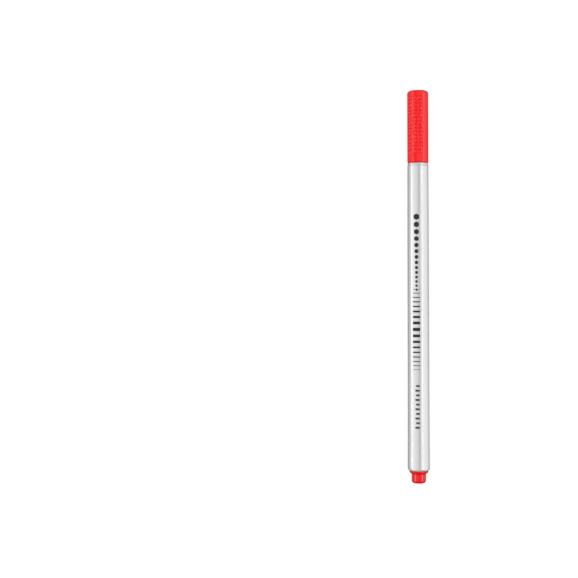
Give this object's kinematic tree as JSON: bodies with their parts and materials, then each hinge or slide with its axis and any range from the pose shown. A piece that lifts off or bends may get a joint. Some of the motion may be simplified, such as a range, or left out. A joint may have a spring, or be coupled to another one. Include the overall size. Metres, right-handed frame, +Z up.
{
  "type": "fineliner pen",
  "caption": "Capped fineliner pen with a faceted barrel, a press-fit end plug and a pull-off cap over a stepped nose, metal tip tube and capillary nib.",
  "frame": {"origin": "on the surface that the pen lies on, under the middle of its length and width", "axes": "+Y along the pen's axis towards the cap's closed end; +Z up, out of the barrel's upper facet"},
  "size_m": [0.0096, 0.166, 0.0085],
  "materials": {
    "barrel_plastic": "glossy white-grey moulded plastic",
    "plug_plastic": "glossy red moulded plastic",
    "nose_plastic": "satin light grey moulded plastic",
    "tip_steel": "drawn stainless tube",
    "nib_acetal": "matt plastic stained with red ink",
    "reservoir_fibre": "fibre bundle soaked with red ink",
    "reservoir_wrap": "thin clear-white film",
    "cap_plastic": "glossy red moulded plastic",
    "seal_plastic": "soft natural white plastic",
    "print_black": "black pad print"
  },
  "bodies": {
    "pen": {"barrel": "barrel_plastic", "end_plug": "plug_plastic", "nose_section": "nose_plastic", "tip_sleeve": "tip_steel", "nib": "nib_acetal", "ink_reservoir": "reservoir_fibre", "reservoir_film": "reservoir_wrap"},
    "cap": {"cap_shell": "cap_plastic", "cap_inner_seal": "seal_plastic"}
  },
  "joints": [
    {"name": "cap_pull", "type": "slide", "parent": "pen", "child": "cap", "axis": [0, 1, 0], "range_m": [0, 0.045]}
  ]
}
